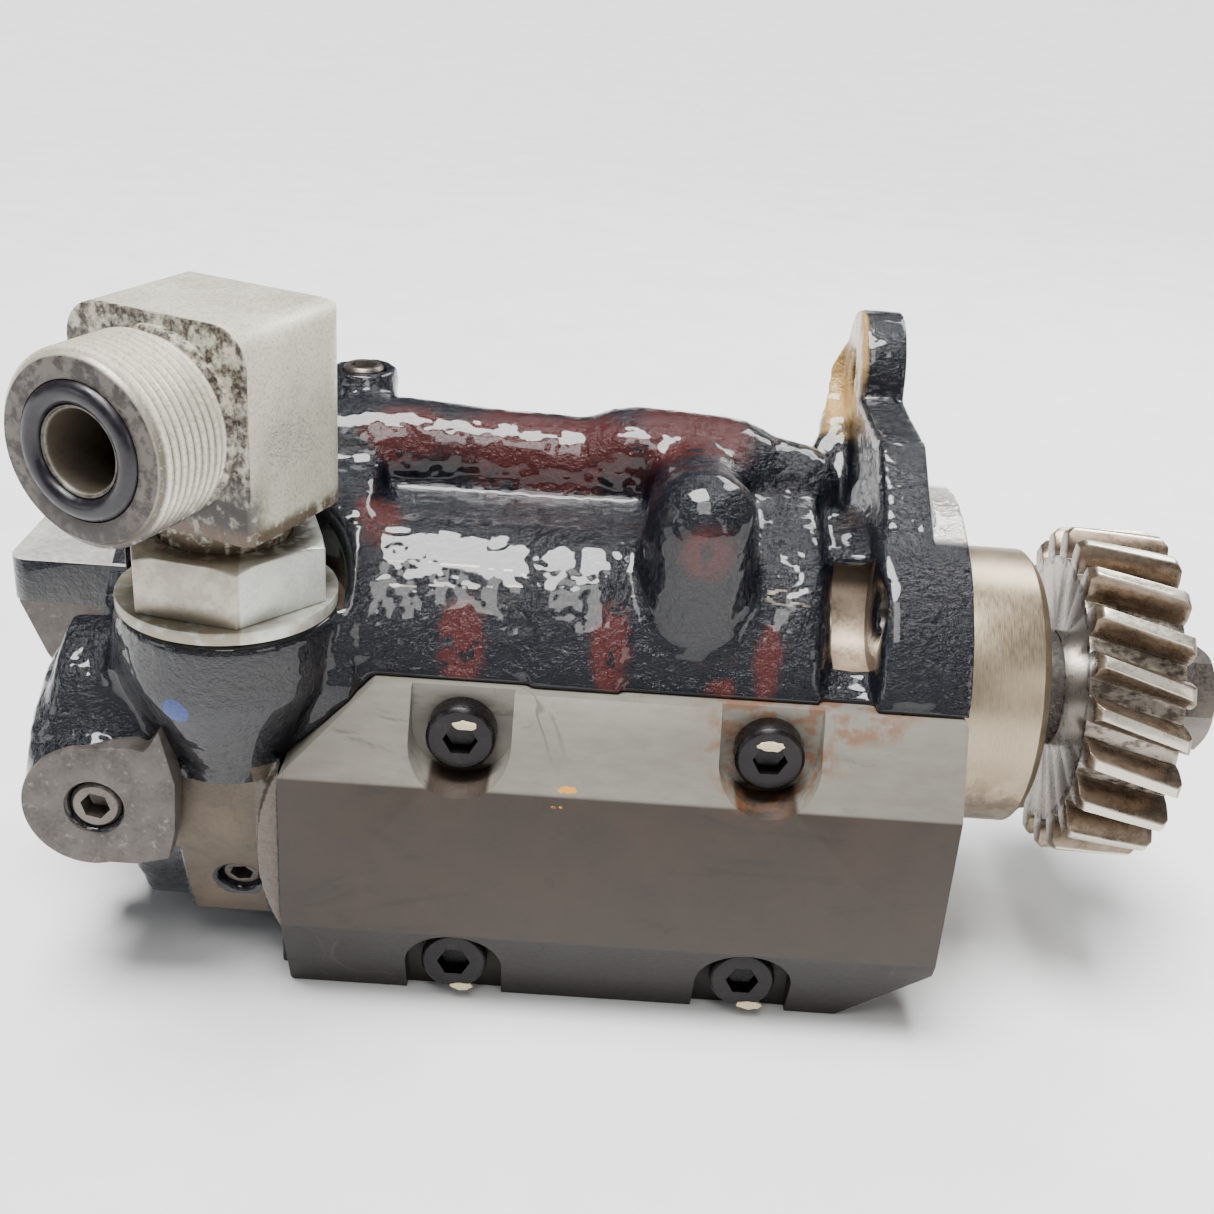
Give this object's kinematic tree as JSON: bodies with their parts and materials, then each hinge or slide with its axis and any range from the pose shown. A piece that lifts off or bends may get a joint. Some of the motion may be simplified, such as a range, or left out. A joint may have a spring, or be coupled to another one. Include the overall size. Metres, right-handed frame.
{
  "type": "hydraulic gear pump",
  "caption": "Flange mounted high pressure gear pump: long cast body, helical drive gear, side valve block with relief valve, and a 90 degree face seal outlet elbow.",
  "frame": {"origin": "centre of the flange's mounting face, on the drive shaft axis", "axes": "+X along the drive shaft towards the drive gear, +Z along the outlet boss, -Y towards the side block"},
  "size_m": [0.301, 0.1671, 0.1692],
  "materials": {
    "cast_paint": "glossy black paint over rough cast iron",
    "ground_steel": "ground steel, brown with age",
    "black_screw": "black oxide steel, lightly oiled",
    "zinc_fitting": "zinc plated steel, worn",
    "gear_steel": "case hardened steel, oiled",
    "shaft_steel": "ground steel",
    "bearing_steel": "polished bearing steel",
    "bronze": "bronze bush, satin",
    "alloy_block": "machined aluminium alloy",
    "seal_rubber": "glossy nitrile rubber",
    "cage_brass": "pressed brass",
    "spring_steel": "spring steel wire",
    "plug_steel": "plain steel plug, oily"
  },
  "bodies": {
    "housing": {"pump_housing": "cast_paint", "rear_cover": "cast_paint", "rear_cover_seal": "seal_rubber", "rear_cover_screws": "black_screw", "locating_dowels": "bearing_steel", "rear_bearing_block": "alloy_block", "front_bearing_block": "alloy_block", "bearing_bushes": "bronze", "bearing_outer_race": "bearing_steel", "bearing_clip": "spring_steel", "shaft_seal": "seal_rubber", "side_block": "ground_steel", "block_port_seals": "seal_rubber", "block_screws": "black_screw", "relief_seat": "bearing_steel", "relief_spring": "spring_steel", "relief_adjuster": "plug_steel", "elbow_body": "zinc_fitting", "elbow_face_seal": "seal_rubber", "elbow_lock_nut": "zinc_fitting", "elbow_washer": "zinc_fitting", "elbow_port_seal": "seal_rubber", "lug_plug": "plug_steel", "boss_plug": "plug_steel", "top_plug": "plug_steel"},
    "drive_train": {"drive_shaft": "shaft_steel", "bearing_inner_race": "bearing_steel", "drive_gear": "gear_steel", "drive_key": "plug_steel", "nut_washer": "shaft_steel", "drive_nut": "plug_steel"},
    "driven_rotor": {"driven_gear_shaft": "shaft_steel"},
    "ball_set": {"bearing_balls": "bearing_steel", "bearing_cage": "cage_brass"},
    "relief_valve": {"relief_poppet": "bearing_steel"}
  },
  "joints": [
    {"name": "drive_spin", "type": "hinge", "parent": "housing", "child": "drive_train", "pos_m": [0, 0, 0], "axis": [1, 0, 0], "continuous": true},
    {"name": "driven_spin", "type": "hinge", "parent": "housing", "child": "driven_rotor", "pos_m": [0, 0, -0.036], "axis": [1, 0, 0], "continuous": true},
    {"name": "cage_spin", "type": "hinge", "parent": "housing", "child": "ball_set", "pos_m": [0, 0, 0], "axis": [1, 0, 0], "continuous": true},
    {"name": "relief_lift", "type": "slide", "parent": "housing", "child": "relief_valve", "axis": [-1, 0, 0], "range_m": [0, 0.0025], "stiffness_N_per_m": 4000, "springref_m": -0.003, "deforming": ["relief_spring"]}
  ],
  "couplings": [
    {"joint": "driven_spin", "follows": "drive_spin", "ratio": -1},
    {"joint": "cage_spin", "follows": "drive_spin", "ratio": 0.39674}
  ]
}
